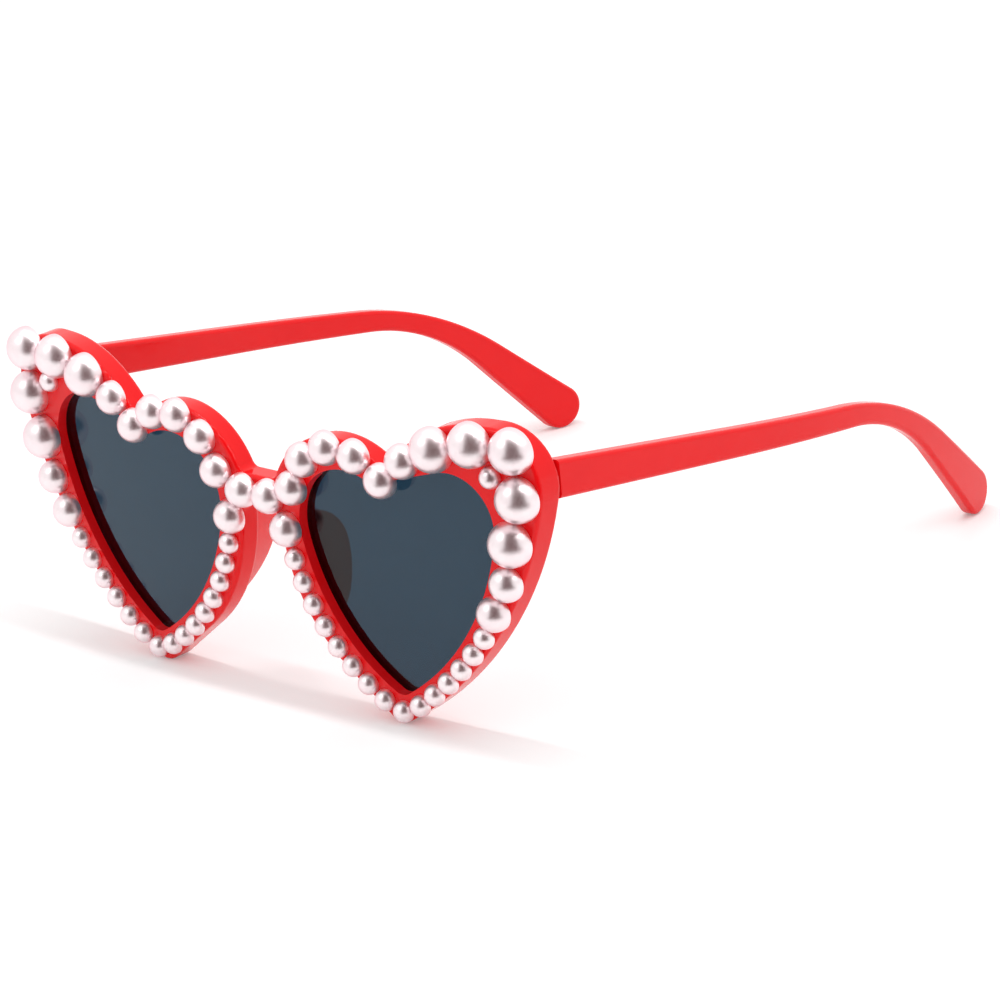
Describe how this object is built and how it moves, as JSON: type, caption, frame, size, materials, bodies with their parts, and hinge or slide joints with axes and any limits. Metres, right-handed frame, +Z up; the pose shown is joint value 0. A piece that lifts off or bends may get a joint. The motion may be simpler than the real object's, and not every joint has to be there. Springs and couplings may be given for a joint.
{
  "type": "heart shaped sunglasses",
  "caption": "Sunglasses with heart-shaped rims edged with half pearls, smoke-tinted lenses, moulded nose pads and temples that fold on barrel hinges.",
  "frame": {"origin": "on the table, under the middle of the open sunglasses' bounding box", "axes": "+X to the wearer's left, +Y back along the temples, +Z up"},
  "size_m": [0.1412, 0.1578, 0.0644],
  "materials": {
    "red_plastic": "polished",
    "lens": "polished",
    "pearl": "pearl gloss",
    "hinge_metal": "satin"
  },
  "bodies": {
    "front": {"bridge_pearl_left": "pearl", "bridge_pearl_right": "pearl", "brow_pearl_1_left": "pearl", "brow_pearl_1_right": "pearl", "brow_pearl_2_left": "pearl", "brow_pearl_2_right": "pearl", "brow_pearl_3_left": "pearl", "brow_pearl_3_right": "pearl", "brow_pearl_4_left": "pearl", "brow_pearl_4_right": "pearl", "brow_pearl_5_left": "pearl", "brow_pearl_5_right": "pearl", "brow_pearl_6_left": "pearl", "brow_pearl_6_right": "pearl", "brow_pearl_7_left": "pearl", "brow_pearl_7_right": "pearl", "brow_pearl_8_left": "pearl", "brow_pearl_8_right": "pearl", "chin_pearls_left": "pearl", "chin_pearls_right": "pearl", "cleft_pearl_left": "pearl", "cleft_pearl_right": "pearl", "corner_pearl_left": "pearl", "corner_pearl_right": "pearl", "front_frame": "red_plastic", "hinge_front_leaf_left": "hinge_metal", "hinge_front_leaf_right": "hinge_metal", "hinge_screw_left": "hinge_metal", "hinge_screw_right": "hinge_metal", "lens_left": "lens", "lens_right": "lens", "lobe_pearl_1_left": "pearl", "lobe_pearl_1_right": "pearl", "lobe_pearl_2_left": "pearl", "lobe_pearl_2_right": "pearl", "lobe_pearl_3_left": "pearl", "lobe_pearl_3_right": "pearl", "lobe_pearl_4_left": "pearl", "lobe_pearl_4_right": "pearl", "nose_pearl_left": "pearl", "nose_pearl_right": "pearl", "side_pearls_left": "pearl", "side_pearls_right": "pearl"},
    "temple_arm_left": {"temple_left": "red_plastic", "hinge_temple_leaf_left": "hinge_metal"},
    "temple_arm_right": {"temple_right": "red_plastic", "hinge_temple_leaf_right": "hinge_metal"}
  },
  "joints": [
    {"name": "temple_left_fold", "type": "hinge", "parent": "front", "child": "temple_arm_left", "pos_m": [0.0652, -0.06369, 0.0529], "axis": [0, 0, 1], "range_deg": [0, 86]},
    {"name": "temple_right_fold", "type": "hinge", "parent": "front", "child": "temple_arm_right", "pos_m": [-0.0652, -0.06369, 0.0529], "axis": [0, 0, -1], "range_deg": [0, 80]}
  ]
}
